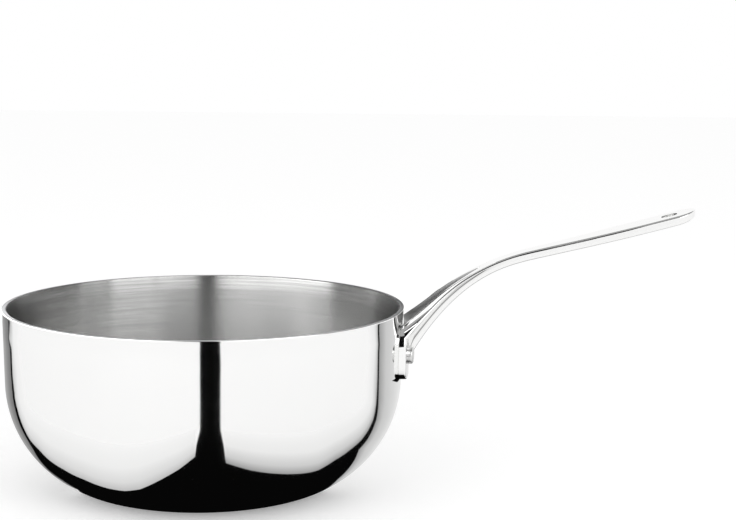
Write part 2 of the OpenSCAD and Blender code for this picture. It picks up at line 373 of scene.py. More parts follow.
# %% Buffing
HAZE_SCALE, HAZE_DETAIL = 14, 4
GRAIN_SCALE, GRAIN_DETAIL = 2600, 2

buffing, place, end = new_effect("buffing", ["Haze", "Grain"])
buffing.links.new(noise_node(buffing, place, HAZE_SCALE, HAZE_DETAIL), end.inputs["Haze"])
buffing.links.new(noise_node(buffing, place, GRAIN_SCALE, GRAIN_DETAIL), end.inputs["Grain"])
print("Effects:", turned_lines.name, "and", buffing.name)

# %% [markdown]
# ## Finishes
# All pieces are metal, so their colour is the colour of their reflections and their roughness decides how sharp
# those are. The outer skin and the handle are buffed to a mirror. The inner skin is brushed round the axis: its
# highlights stretch across the lines. A bump of a thousand real lines would do that too, but only at a very high
# resolution, so an anisotropic shader with a tangent round the Z axis does it.

# %% Metal
NOISE_LOW, NOISE_HIGH = 0.3, 0.7


def metal(name, colour, roughness, effect, output, rough_swing, tone_swing):
    """A metal whose roughness and tone swing with one output of an effect."""
    material = bpy.data.materials.new(name)
    material.use_nodes = True
    tree = material.node_tree
    shader = tree.nodes["Principled BSDF"]
    shader.inputs["Metallic"].default_value = 1
    group = tree.nodes.new("ShaderNodeGroup")
    group.node_tree = effect
    tree.links.new(tree.nodes.new("ShaderNodeTexCoord").outputs["Object"], group.inputs["Place"])
    value = group.outputs[output]
    low, high = roughness * (1 - rough_swing), roughness * (1 + rough_swing)
    tree.links.new(range_node(tree, value, NOISE_LOW, NOISE_HIGH, low, high), shader.inputs["Roughness"])
    tone = tree.nodes.new("ShaderNodeMix")
    tone.data_type = "RGBA"
    tone.inputs["A"].default_value = (*colour, 1)
    tone.inputs["B"].default_value = (*(c * (1 - tone_swing) for c in colour), 1)
    tree.links.new(range_node(tree, value, NOISE_LOW, NOISE_HIGH, 0, 1), tone.inputs["Factor"])
    tree.links.new(tone.outputs["Result"], shader.inputs["Base Color"])
    return material


# %% Finishes
FINISHES = {
    "outer_skin": metal("polished_steel", (0.93, 0.93, 0.925), 0.05, buffing, "Haze", 0.35, 0.02),
    "core": metal("aluminium", (0.6, 0.6, 0.61), 0.5, turned_lines, "Fine", 0.3, 0.1),
    "inner_skin": metal("satin_steel", (0.6, 0.6, 0.595), 0.24, turned_lines, "Fine", 0.12, 0.2),
    "handle": metal("polished_casting", (0.92, 0.92, 0.915), 0.06, buffing, "Haze", 0.35, 0.02),
    "rivets": metal("rivet_steel", (0.7, 0.7, 0.695), 0.22, buffing, "Grain", 0.25, 0.05),
}
print("Finishes:", ", ".join(finish.name for finish in FINISHES.values()))

# %% Brushed inner skin
STRETCH, QUARTER_TURN = 1, 0.25

satin = FINISHES["inner_skin"].node_tree
satin_shader = satin.nodes["Principled BSDF"]
satin_shader.inputs["Anisotropic"].default_value = STRETCH
satin_shader.inputs["Anisotropic Rotation"].default_value = QUARTER_TURN
around = satin.nodes.new("ShaderNodeTangent")
around.direction_type = "RADIAL"
around.axis = "Z"
satin.links.new(around.outputs[0], satin_shader.inputs["Tangent"])

# %% [markdown]
# ## The blasted scoop
# The scoop on top of the handle can't be buffed, so it keeps the satin grain of the blasting. The handle's mesh
# carries each point's distance from the scoop's edge, and the finish changes where that distance is nothing. A second
# material on some of the faces would follow their steps, while the distance gives a smooth border.

# %% Satin in the scoop
SCOOP_TONE, SCOOP_SWING, SCOOP_ROUGHNESS, SCOOP_BLUR = 0.42, 0.07, 0.42, 0.12

casting = FINISHES["handle"].node_tree
casting_shader = casting.nodes["Principled BSDF"]
edge_distance = casting.nodes.new("ShaderNodeAttribute")
edge_distance.attribute_name = "scoop_edge"
in_scoop = range_node(casting, edge_distance.outputs["Fac"], -SCOOP_BLUR, SCOOP_BLUR, 1, 0)
polished = casting_shader.inputs["Roughness"].links[0].from_socket
casting.links.new(blend(casting, in_scoop, polished, SCOOP_ROUGHNESS), casting_shader.inputs["Roughness"])
grain = casting.nodes.new("ShaderNodeGroup")
grain.node_tree = buffing
casting.links.new(casting.nodes.new("ShaderNodeTexCoord").outputs["Object"], grain.inputs["Place"])
darker, lighter = SCOOP_TONE * (1 - SCOOP_SWING), SCOOP_TONE * (1 + SCOOP_SWING)
satin_tone = range_node(casting, grain.outputs["Grain"], NOISE_LOW, NOISE_HIGH, darker, lighter)
tint = casting.nodes.new("ShaderNodeMix")
tint.data_type = "RGBA"
casting.links.new(in_scoop, tint.inputs["Factor"])
casting.links.new(casting_shader.inputs["Base Color"].links[0].from_socket, tint.inputs["A"])
casting.links.new(satin_tone, tint.inputs["B"])
casting.links.new(tint.outputs["Result"], casting_shader.inputs["Base Color"])

# %% [markdown]
# ## The rivets
# A rivet is one more turned piece: a low head inside the bowl, a shank through the sheet and the flange, and a tall
# outer head with a rounded edge. Both rivets are the same, so a second tree places copies of one at two turns about
# the pan's axis. The same tree places the cutters for their bores.

# %% Sizes of the rivets
FLANGE_T, FLANGE_H, FLANGE_DROP = 3.5, 26.7, 7.5
RIVET_SPACING, RIVET_DROP, RIVET_D, RIVET_GAP = 29.5, 21.8, 5, 0.05
HEAD_D, HEAD_H, INNER_HEAD_H, HEAD_EDGE_R = 9.2, 3, 2, 1.1
HEAD_FLAT, HEAD_SINK = 0.35, 0.24
RIVET_STEPS, HEAD_STEPS, RIVET_ARM, RIVET_SHARP = 64, 8, 10, 40

RIVET_Z = PAN_H - RIVET_DROP
FLANGE_R = WALL_R - (LIP_Z - (PAN_H - FLANGE_DROP - FLANGE_H / 2)) * tan(WALL_LEAN) + FLANGE_T
RIVET_TURN = math.degrees(math.asin(RIVET_SPACING / 2 / FLANGE_R))
INNER_R = WALL_R - (LIP_Z - RIVET_Z) * tan(WALL_LEAN) - SHEET_T / cos(WALL_LEAN)
print(f"The rivets stand {RIVET_TURN:.1f} degrees to each side of the handle, {RIVET_Z:.1f} mm up")

# %% Two copies on the wall
pair = new_tree("pair_on_wall", [("Turn", "Float"), ("Height", "Float"), ("Finish", "Material")])
given = pair.nodes.new("NodeGroupInput")
both = pair.nodes.new("GeometryNodeJoinGeometry")
lift = pair.nodes.new("ShaderNodeCombineXYZ")
pair.links.new(given.outputs["Height"], lift.inputs["Z"])
for side in (-1, 1):
    turn = pair.nodes.new("ShaderNodeMath")
    turn.operation = "MULTIPLY"
    turn.inputs[1].default_value = side
    about = pair.nodes.new("ShaderNodeCombineXYZ")
    about.inputs["Y"].default_value = math.pi / 2
    place = pair.nodes.new("GeometryNodeTransform")
    pair.links.new(given.outputs["Turn"], turn.inputs[0])
    pair.links.new(turn.outputs[0], about.inputs["Z"])
    pair.links.new(about.outputs[0], place.inputs["Rotation"])
    pair.links.new(lift.outputs[0], place.inputs["Translation"])
    pair.links.new(given.outputs["Geometry"], place.inputs["Geometry"])
    pair.links.new(place.outputs[0], both.inputs[0])
finish_tree(pair, given, both)


def on_rivets(name, single, finish):
    """Puts two copies of a piece that stands along Z onto the rivet axes, and removes the single one."""
    both = grow(name, single.data, pair, Turn=math.radians(RIVET_TURN), Height=RIVET_Z * MM, Finish=finish)
    bpy.data.objects.remove(single)
    return both


# %% Rivets
head_r = HEAD_D / 2
outer_top, inner_top = FLANGE_R + HEAD_H, INNER_R - INNER_HEAD_H
rivet_outline = [(0, inner_top), (head_r * HEAD_FLAT, inner_top)]
rivet_outline += corner((head_r, inner_top), (0, inner_top), (head_r, INNER_R), HEAD_EDGE_R, HEAD_STEPS)
rivet_outline += [(head_r, INNER_R + HEAD_SINK), (RIVET_D / 2, INNER_R + HEAD_SINK)]
rivet_outline += [(RIVET_D / 2, FLANGE_R - HEAD_SINK), (head_r, FLANGE_R - HEAD_SINK)]
rivet_outline += corner((head_r, outer_top), (head_r, FLANGE_R), (0, outer_top), HEAD_EDGE_R, HEAD_STEPS)
rivet_outline += [(head_r * HEAD_FLAT, outer_top), (0, outer_top)]
one_rivet = turned("one_rivet", rivet_outline, RIVET_STEPS, RIVET_ARM, FINISHES["rivets"])
rivets = on_rivets("rivets_fine", one_rivet, FINISHES["rivets"])
shade(rivets, RIVET_SHARP)
settle(rivets, "rivets")

# %% Cutters for the bores
CUTTER_FROM, CUTTER_PAST = 60, 10

bore_r, bore_end = RIVET_D / 2 + RIVET_GAP, FLANGE_R + CUTTER_PAST
cutter_outline = [(0, CUTTER_FROM), (bore_r, CUTTER_FROM), (bore_r, bore_end), (0, bore_end)]
cutter = turned("cutter", cutter_outline, RIVET_STEPS, RIVET_ARM, FINISHES["rivets"])
bores = on_rivets("bores", cutter, FINISHES["rivets"])
report(bores)

# %% [markdown]
# ## The three layers
# At the cut rim the layers show as fine lines, because each wears and polishes differently. The outer and the inner
# corner are broken with a 0.25 mm fillet, and the seams between the layers have a hair-fine groove. One loop makes all
# three with the lathe, because they differ only in depth, fillets and finish.

# %% Skins and core
RIM_ROUND, SEAM_ROUND = 0.25, 0.05
STEPS_ROUND, SKIN_SHARP = 320, 30
LAYERS = {
    "outer_skin": (0, OUTER_T, RIM_ROUND, SEAM_ROUND),
    "core": (OUTER_T, OUTER_T + CORE_T, SEAM_ROUND, SEAM_ROUND),
    "inner_skin": (OUTER_T + CORE_T, SHEET_T, SEAM_ROUND, RIM_ROUND),
}
for node, layer in LAYERS.items():
    skin = turned(node + "_fine", layer_outline(*layer), STEPS_ROUND, WALL_R, FINISHES[node])
    combine(skin, bores, "DIFFERENCE")
    shade(skin, SKIN_SHARP)
    settle(skin, node)

# %% [markdown]
# ## The handle's line
# The cast handle is the piece that takes the most skill. Seen from the side, its top line leaves the wall at fifty
# degrees, bends over in one arc and runs out in a grip that curves up very slightly. Near the wall it is lifted in a
# short hollow that carries it onto the flange. Every section below hangs on this line. It could be a drawn curve, but
# formulas for its height and slope let each section ask for both at any distance.

# %% Sizes of the line
HANDLE_REACH = 143.8
ROOT_DROP, ROOT_SLOPE, BEND_R, GRIP_SLOPE = 10.7, 51.1, 116.3, 13.7
ROOT_LIFT, ROOT_LIFT_L = 3.4, 14
GRIP_RISE = 1.35

ROOT_Z = PAN_H - ROOT_DROP
BEND_X = WALL_R + BEND_R * sin(ROOT_SLOPE)
BEND_Z = ROOT_Z - BEND_R * cos(ROOT_SLOPE)
GRIP_X = BEND_X - BEND_R * sin(GRIP_SLOPE)
GRIP_Z = BEND_Z + BEND_R * cos(GRIP_SLOPE)
END_X = RIM_D / 2 + HANDLE_REACH
GRIP_L = END_X - GRIP_X
print(f"The bend runs from the wall to {GRIP_X:.1f} mm, the grip is {GRIP_L:.1f} mm long")

# %% Line of the handle
def base_z(x):
    """Height of the line without its lift at the root."""
    if x < GRIP_X:
        return BEND_Z + math.sqrt(BEND_R**2 - (x - BEND_X)**2)
    return GRIP_Z + (x - GRIP_X) * tan(GRIP_SLOPE) + GRIP_RISE * ((x - GRIP_X) / GRIP_L)**2


def line_slope(x):
    """Slope of the line, in degrees."""
    if x < GRIP_X:
        return math.degrees(math.asin((BEND_X - x) / BEND_R))
    return math.degrees(math.atan(tan(GRIP_SLOPE) + 2 * GRIP_RISE * (x - GRIP_X) / GRIP_L**2))


def root_lift(x):
    """Lift of the line near the wall."""
    return ROOT_LIFT * max(0, 1 - (x - WALL_R) / ROOT_LIFT_L)**2


print(f"The grip starts at ({GRIP_X:.1f}, {GRIP_Z:.1f}) and ends at ({END_X:.1f}, {base_z(END_X):.1f})")

# %% [markdown]
# ## The handle's section
# The handle is drawn as upright sections, each at right angles to the pan's radius. A section has a flat or scooped
# top, a brow that falls away from the top to a rounded edge on each side, sides that curve in, and a narrow underside.
# Towards the wall it widens and deepens by simple power laws, and the brow falls further, which gives the root its
# sloping shoulders. Towards the end it closes in a rounded tip. Pulling a box about by hand could reach this form too,
# but the laws keep the long lines fair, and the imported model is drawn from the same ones.

# %% Sizes of the section
ROOT_W, NECK_W, GRIP_W = 30, 11.2, 21
FLARE_L, WIDEN_L, FLARE_POWER, KEEL_POWER = 58, 62, 2.4, 2.5
BROW_W, BROW_FALL, BROW_W_POWER, BROW_FALL_POWER, BROW_LEAST = 4.8, 6, 2, 4, 0.3
GRIP_T, ROOT_THINNING, TIP_SHARE = 4.7, 0.3, 0.55
KEEL_DROP, KEEL_W = 16, 14
EDGE_R, EDGE_GROWTH, UNDER_R, GRIP_DRAFT = 1.1, 0.5, 1.6, 1
SIDE_HOLLOW = 1.5
SCOOP_L, SCOOP_DEPTH, SCOOP_LEAST, SCOOP_LAND, SCOOP_POWER = 38, 1.2, 0.2, 0.4, 4
SCOOP_START = 7
FOOT_R, FOOT_INSIDE, FOOT_TURN = 2.6, 0.8, 60

END_R = GRIP_W / 2
ROUND_X = END_X - END_R * cos(GRIP_SLOPE)
print(f"The handle is {ROOT_W} mm wide at the root, {NECK_W} mm at the neck and {GRIP_W} mm at the grip")

# %% How the section changes
def fade(x, length, power):
    """A share that falls smoothly from 1 at the wall to 0 at a given length."""
    return max(0, 1 - (x - WALL_R) / length)**power


def ease(t):
    """A share that rises smoothly from 0 to 1."""
    t = min(1, max(0, t))
    return t * t * (3 - 2 * t)


def closing(x):
    """The rounded end closes the plan to a point."""
    return math.sqrt(max(0, 1 - ((x - ROUND_X) / (END_X - ROUND_X))**2)) if x > ROUND_X else 1


# %% Width and depth
def top_half(x):
    """Half the width of the flat top."""
    widening = (END_R - EDGE_R - NECK_W / 2) * ease((x - WALL_R - FLARE_L) / WIDEN_L)
    return closing(x) * (NECK_W / 2 + (ROOT_W - NECK_W) / 2 * fade(x, FLARE_L, FLARE_POWER) + widening)


def under_half(x):
    """Half the width of the flat underside."""
    widening = (END_R - NECK_W / 2 - GRIP_DRAFT) * ease((x - WALL_R - FLARE_L) / WIDEN_L)
    return closing(x) * (NECK_W / 2 - UNDER_R + (KEEL_W - NECK_W) / 2 * fade(x, FLARE_L, 1) + widening)


def section_depth(x):
    """Upright depth of the section below the line."""
    plate = GRIP_T * (TIP_SHARE + (1 - TIP_SHARE) * closing(x)) / cos(line_slope(x))
    return plate * (1 - ROOT_THINNING * fade(x, FLARE_L, 1)) + KEEL_DROP * fade(x, FLARE_L, KEEL_POWER)


# %% Scoop and foot
def scoop_share(x):
    """The scoop is widest near the wall and ends in a point."""
    return math.sqrt(max(0, 1 - ((x - WALL_R) / SCOOP_L)**2))


def foot_spread(x, y):
    """How far the foot's fillet spreads at a point, by its distance from the flange's face."""
    away = math.hypot(x, y) - FLANGE_R
    if away < 0:
        return FOOT_R * max(0, 1 + away / FOOT_INSIDE)
    return FOOT_R - math.sqrt(FOOT_R**2 - (FOOT_R - min(FOOT_R, away))**2)


# %% Section
SCOOP_SHARES, LAND_SHARES = np.linspace(0, 1, 15), (0.33, 0.67, 1)
BROW_SHARES, FLANK_SHARES = np.linspace(0, 1, 9)[1:-1], np.linspace(0, 1, 13)[1:-1]
EDGE_STEPS, UNDER_TURNS = 11, np.linspace(0, 90, 8)


def half_section(x):
    """One half of a section as (distance from the middle, height above the line)."""
    rise = 1 / cos(line_slope(x))
    half, share = top_half(x) - BROW_LEAST * closing(x), scoop_share(x)
    brow = BROW_LEAST * closing(x) + BROW_W * fade(x, FLARE_L, BROW_W_POWER)
    fall = BROW_FALL * fade(x, FLARE_L, BROW_FALL_POWER)
    land = SCOOP_LAND * ease((x - WALL_R) / SCOOP_START)
    scoop = max(SCOOP_LEAST * half, (half - land) * share)
    sink = SCOOP_DEPTH * rise * math.sqrt(share) * ease((x - WALL_R) / SCOOP_START)
    edge = EDGE_R * (1 + EDGE_GROWTH * fade(x, FLARE_L, 1)) * closing(x)
    turn = math.degrees(math.atan2(rise * brow, 2 * fall))
    side = half + brow + edge * (1 - cos(turn))
    drop = fall + edge * rise * sin(turn)
    low, under = UNDER_R * closing(x), under_half(x)
    deep = section_depth(x) + root_lift(x)
    hollow = 1 + SIDE_HOLLOW * fade(x, FLARE_L, 1)
    points = [(scoop * v, -sink * (1 - v**SCOOP_POWER)) for v in SCOOP_SHARES]
    points += [(scoop + (half - scoop) * v, 0) for v in LAND_SHARES]
    points += [(half + brow * t, -fall * t * t) for t in BROW_SHARES]
    points += [(side - edge * (1 - cos(a)), edge * rise * sin(a) - drop) for a in np.linspace(turn, 0, EDGE_STEPS)]
    for t in FLANK_SHARES:
        y, z = under + low + (side - under - low) * (1 - t)**hollow, -drop - (deep - drop - low * rise) * t
        spread, turn = foot_spread(x, y) * ease(2 * t), FOOT_TURN * t
        points.append((y + spread * cos(turn), z - spread * sin(turn)))
    for a in UNDER_TURNS:
        y, z = under + low * cos(a), -deep + low * rise * (1 - sin(a))
        spread, turn = foot_spread(x, y), FOOT_TURN + (90 - FOOT_TURN) * a / 90
        points.append((y + spread * cos(turn), z - spread * sin(turn)))
    return points + [(under / 2, -deep - foot_spread(x, under / 2))], (0, -deep - foot_spread(x, 0))


def section(x):
    """A whole section as points in millimetres, from the middle of the top round to where it began."""
    half, lowest = half_section(x)
    z = base_z(x) + root_lift(x)
    ring = half + [lowest] + [(-y, height) for y, height in half[:0:-1]]
    return [(x, y, z + height) for y, height in ring]


print(f"Each section has {len(section(END_X - END_R))} points")

# %% [markdown]
# ## Lofting the handle
# The sections are joined ring by ring into one skin. They stand closest where the form changes fastest, at the foot
# and round the tip. A fan closes each end. A subdivision surface would need fewer sections, but it would round the
# borders of the scoop, which are crisp on a casting that was polished afterwards.

# %% Places of the sections
ROOT_START = 0.5
FOOT_STATIONS, ROOT_STATIONS, GRIP_STATIONS, END_STATIONS = 24, 90, 60, 30
END_TURN = 88


def spaced(start, end, count):
    """Evenly spaced numbers from start towards end, without the end."""
    return [start + (end - start) * i / count for i in range(count)]


root_x, foot_x = WALL_R + ROOT_START, FLANGE_R + FOOT_R
stations = spaced(root_x, foot_x, FOOT_STATIONS) + spaced(foot_x, WALL_R + FLARE_L, ROOT_STATIONS)
stations += spaced(WALL_R + FLARE_L, ROUND_X, GRIP_STATIONS)
stations += [ROUND_X + (END_X - ROUND_X) * sin(END_TURN * i / END_STATIONS) for i in range(END_STATIONS + 1)]
print(f"{len(stations)} sections from {stations[0]:.1f} to {stations[-1]:.1f} mm")

# %% Loft
CAP_DEPTH = 0.4

rings = [section(x) for x in stations]
count, last = len(rings[0]), len(rings) - 1
points = [point for ring in rings for point in ring]
faces = []
for i in range(last):
    for j in range(count):
        k = (j + 1) % count
        faces.append((i * count + j, (i + 1) * count + j, (i + 1) * count + k, i * count + k))
for x in (stations[0], stations[-1]):
    points.append((x, 0, base_z(x) - section_depth(x) * CAP_DEPTH))
faces += [(len(points) - 2, j, (j + 1) % count) for j in range(count)]
faces += [(len(points) - 1, last * count + (j + 1) % count, last * count + j) for j in range(count)]
handle = new_piece("handle_fine", points, faces, FINISHES["handle"])
report(handle)

# %% [markdown]
# ## The flange
# The flange is the curved plate that lies against the wall. Its outline is a low shape with sloping shoulders. The
# shoulders' outer corners are rounded generously here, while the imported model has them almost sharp. It is built from
# rings of that outline: the ring shrinks as the plate's rounded edge turns over, and goes on shrinking across the outer
# face until it closes. A flat plate bent by a modifier would do as well, but the rings give the edge its own radius,
# small at the sides and larger along the top.

# %% Outline of the flange
FLANGE_W, SHOULDER_W, SHOULDER_FALL = 40.6, 8, 3.25
FLANGE_CORNER_R, SHOULDER_R, TOP_CORNER_R, LEAST_R = 6, 9, 3, 0.05
FLANGE_TOP, OUTLINE_STEPS = PAN_H - FLANGE_DROP, 24


def flange_ring(inset):
    """The flange's outline, seen along the handle and drawn in by the inset."""
    half, low, top = FLANGE_W / 2, FLANGE_TOP - FLANGE_H, FLANGE_TOP
    high, shoulder = top - SHOULDER_FALL, half - SHOULDER_W
    corners = [(half, low), (half, high), (shoulder, top), (-shoulder, top), (-half, high), (-half, low)]
    radii = [FLANGE_CORNER_R, SHOULDER_R, TOP_CORNER_R, TOP_CORNER_R, SHOULDER_R, FLANGE_CORNER_R]
    radii = [max(LEAST_R, radius - inset) for radius in radii]
    sides = []
    for (ay, az), (by, bz) in zip(corners, corners[1:] + corners[:1]):
        length = math.hypot(by - ay, bz - az)
        ny, nz = -(bz - az) / length, (by - ay) / length
        sides.append(((ay + ny * inset, az + nz * inset), ((by - ay) / length, (bz - az) / length)))
    moved = []
    for (p, u), (q, v) in zip([sides[-1]] + sides[:-1], sides):
        cross = u[0] * v[1] - u[1] * v[0]
        reach = ((q[0] - p[0]) * v[1] - (q[1] - p[1]) * v[0]) / cross
        moved.append((p[0] + u[0] * reach, p[1] + u[1] * reach))
    bends = [corner(moved[i], moved[i - 1], moved[i + 1 - len(moved)], radii[i]) for i in range(len(moved))]
    ring = []
    for bend, following in zip(bends, bends[1:] + bends[:1]):
        ring += bend + between(bend[-1], following[0], OUTLINE_STEPS)[1:]
    return ring


def wall_face(z):
    """Radius of the wall's outer face at a height."""
    return WALL_R - (LIP_Z - z) * tan(WALL_LEAN)


print(f"The flange's outline has {len(flange_ring(0))} points")

# %% Rings of the flange
BACK_BEVEL, BACK_STEPS = 0.3, 3
FLANGE_EDGE_R, FLANGE_TOP_R, FLANGE_EDGE_STEPS = 0.9, 2.2, 10
TOP_EDGE_BELOW, TOP_EDGE_OVER = 4, 3
FACE_INSETS = (1.5, 2.5, 4, 6, 8, 10, 11.2)


def on_cylinder(radius, y, z):
    """The point at this radius from the pan's axis."""
    return math.sqrt(radius**2 - y * y), y, z


rings = []
for k in range(BACK_STEPS + 1):
    share = k / BACK_STEPS
    outline = flange_ring(BACK_BEVEL * (1 - share))
    rings.append([on_cylinder(wall_face(z) + BACK_BEVEL * share, y, z) for y, z in outline])
for k in range(FLANGE_EDGE_STEPS + 1):
    turn = 90 * k / FLANGE_EDGE_STEPS
    ring = []
    for y, z in flange_ring(FLANGE_EDGE_R * (1 - cos(turn))):
        top_share = ease((z - FLANGE_TOP + TOP_EDGE_BELOW) / TOP_EDGE_OVER)
        edge_r = FLANGE_EDGE_R + (FLANGE_TOP_R - FLANGE_EDGE_R) * top_share
        ring.append(on_cylinder(FLANGE_R - edge_r * (1 - sin(turn)), y, z))
    rings.append(ring)
for inset in FACE_INSETS:
    rings.append([on_cylinder(FLANGE_R, y, z) for y, z in flange_ring(inset)])
print(f"{len(rings)} rings")

# %% Flange
count, last = len(rings[0]), len(rings) - 1
points = [point for ring in rings for point in ring]
faces = [
    (i * count + j, i * count + (j + 1) % count, (i + 1) * count + (j + 1) % count, (i + 1) * count + j)
    for i in range(last) for j in range(count)
]
faces += [tuple(range(count - 1, -1, -1)), tuple(last * count + j for j in range(count))]
flange = new_piece("flange", points, faces, FINISHES["handle"])
report(flange)

# %% [markdown]
# ## One casting
# Root and flange are one casting, so they are joined into one solid before the rivets' bores and the hanging hole are
# cut. The hole stands square to the grip. The last step measures, at each point of the top, how far it lies from the
# scoop's border, for the satin finish above.

# %% Join, bore and hang
HANG_D, HANG_INSET, HANG_REACH, HANG_STEPS, HANG_ARM = 8, 13, 10, 96, 10
CASTING_SHARP = 32

combine(handle, flange, "UNION")
combine(handle, bores, "DIFFERENCE")
hang_x = END_X - HANG_INSET * cos(GRIP_SLOPE)
hole_outline = [(0, -HANG_REACH), (HANG_D / 2, -HANG_REACH), (HANG_D / 2, HANG_REACH), (0, HANG_REACH)]
hole = turned("hole", hole_outline, HANG_STEPS, HANG_ARM, FINISHES["handle"])
tilt = Matrix.Rotation(-math.radians(line_slope(hang_x)), 4, "Y")
hole.data.transform(Matrix.Translation((hang_x * MM, 0, base_z(hang_x) * MM)) @ tilt)
combine(handle, hole, "DIFFERENCE")
shade(handle, CASTING_SHARP)
for tool in (flange, hole, bores):
    bpy.data.objects.remove(tool)
print(f"The hanging hole is {HANG_D} mm wide, {hang_x:.1f} mm from the pan's axis")

# %% Distance from the scoop
SCOOP_FAR, SCOOP_PAST, SCOOP_BELOW, SCOOP_FACING = 5.0, 3, 2.6, 0.3

distances = []
for vertex in handle.data.vertices:
    x, y, z = vertex.co / MM
    near = WALL_R + ROOT_START < x < WALL_R + SCOOP_L + SCOOP_PAST
    on_top = near and z > base_z(x) + root_lift(x) - SCOOP_BELOW and vertex.normal.z > SCOOP_FACING
    wide = max(0, top_half(x) - BROW_LEAST * closing(x) - SCOOP_LAND) * scoop_share(x)
    distances.append(abs(y) - wide if on_top else SCOOP_FAR)
handle.data.attributes.new("scoop_edge", "FLOAT", "POINT").data.foreach_set("value", distances)
settle(handle, "handle")

# %% [markdown]
# ## The studio
# A mirror-polished pan is photographed in a white room with a few dark gaps, because white alone would leave it
# without a form. Two softboxes stand in front of it and light whatever isn't a mirror. Everything else here is what
# the metal reflects: the world, the floor and a set of cards.

# %% Softboxes
LAMP_LIGHT, LAMP_SIZE, LAMP_AIM = 1.2, (1.1, 0.8), (0, 0, 0.1)


def lamp(name, place, aim, size, light):
    """A rectangular softbox that points from its place at its aim, as bright as a surface of that light."""
    data = bpy.data.lights.new(name, "AREA")
    data.shape = "RECTANGLE"
    data.size, data.size_y = size
    data.energy = math.pi * light * size[0] * size[1]
    softbox = bpy.data.objects.new(name, data)
    softbox.location = place
    softbox.rotation_euler = (Vector(aim) - Vector(place)).to_track_quat("-Z", "Y").to_euler()
    bpy.context.collection.objects.link(softbox)
    print(f"{name}: {data.energy:.1f} W")


lamp("left_softbox", (-0.95, -1.05, 0.55), LAMP_AIM, LAMP_SIZE, LAMP_LIGHT)
lamp("right_softbox", (1.05, -0.95, 0.55), LAMP_AIM, LAMP_SIZE, LAMP_LIGHT)

# %% [markdown]
# ## The world
# The camera sees plain white. Reflections see white walls up to about 30 degrees, a dark band above them and a grey
# ceiling: the dark band draws the thin dark line along the handle and the dark places on the flange, and the ceiling
# keeps the grip from turning black when it is seen from above. A picture of a real room could stand here, but this
# one takes three numbers. The light that falls on rough surfaces is even and comes from neither.

# %% World
WORLD_LIGHT, WORLD_DARK, CEILING = 0.8, 0.06, 0.35
WALLS_END, CEILING_START = (0.5, 0.63), (0.79, 0.83)

world = bpy.data.worlds.new("studio")
world.use_nodes = True
bpy.context.scene.world = world
tree = world.node_tree
background = tree.nodes["Background"]
direction = tree.nodes.new("ShaderNodeSeparateXYZ")
tree.links.new(tree.nodes.new("ShaderNodeTexCoord").outputs["Generated"], direction.inputs[0])
walls = range_node(tree, direction.outputs["Z"], *WALLS_END, 1, WORLD_DARK)
ceiling = range_node(tree, direction.outputs["Z"], *CEILING_START, 0, CEILING)
path = tree.nodes.new("ShaderNodeLightPath")
mirrored = math_node(tree, "MAXIMUM", path.outputs["Is Glossy Ray"], path.outputs["Is Transmission Ray"])
lit = math_node(tree, "SUBTRACT", 1, math_node(tree, "ADD", mirrored, path.outputs["Is Camera Ray"]))
seen = math_node(tree, "ADD", walls, ceiling)
shown = math_node(tree, "MULTIPLY_ADD", mirrored, seen, path.outputs["Is Camera Ray"])
tree.links.new(math_node(tree, "MULTIPLY_ADD", lit, WORLD_LIGHT, shown), background.inputs["Strength"])
background.inputs["Color"].default_value = (1, 1, 1, 1)
print(f"Reflections see white up to {math.degrees(math.asin(WALLS_END[0])):.0f} degrees above the horizon")

# %% [markdown]
# ## The floor
# The pan stands on pale paper. The paper is lifted to white by a little light of its own, which only the camera and
# reflections see, so the pan's soft shadow stays on it and no light is added to the pan's rougher parts. A larger lamp
# would lift it too, but it would wash out the metal.

# %% Floor
FLOOR_HALF, FLOOR_TONE = 4000, 0.85
FLOOR_TOP_UP, MIRRORED_TOP_UP = 0.3, 0.24


def flat_stage(name, points, faces, material):
    """A flat sheet of the studio, from points in millimetres."""
    item = new_piece(name, points, faces, material)
    return item


floor_finish = bpy.data.materials.new("floor")
floor_finish.use_nodes = True
tree = floor_finish.node_tree
paper = tree.nodes["Principled BSDF"]
paper.inputs["Base Color"].default_value = (FLOOR_TONE, FLOOR_TONE, FLOOR_TONE, 1)
paper.inputs["Roughness"].default_value = 1
paper.inputs["Specular IOR Level"].default_value = 0
paper.inputs["Emission Color"].default_value = (1, 1, 1, 1)
path = tree.nodes.new("ShaderNodeLightPath")
mirrored = math_node(tree, "ADD", path.outputs["Is Glossy Ray"], path.outputs["Is Transmission Ray"])
shown = math_node(tree, "MULTIPLY", math_node(tree, "ADD", mirrored, path.outputs["Is Camera Ray"]), FLOOR_TOP_UP)
top_up = math_node(tree, "MULTIPLY_ADD", mirrored, MIRRORED_TOP_UP - FLOOR_TOP_UP, shown)
tree.links.new(top_up, paper.inputs["Emission Strength"])
floor_corners = [(x * FLOOR_HALF, y * FLOOR_HALF, 0) for x, y in ((-1, -1), (1, -1), (1, 1), (-1, 1))]
flat_stage("floor", floor_corners, [(0, 1, 2, 3)], floor_finish)
print(f"The floor is {2 * FLOOR_HALF * MM:.0f} m across")

# %% [markdown]
# ## Cards
# A photographer shapes a mirror with cards: a black one puts a dark shape on the metal, a grey one a soft edge. These
# are seen by reflections alone, so they cast no shadow and don't show in the picture. Each carries its tones as an
# attribute of its points, which one shared material turns into light. That way a card can run softly from dark to
# light, and no lamp has to be blocked.

# %% Card
CARD_Z, STRIP_Z = 0.3, 0.2


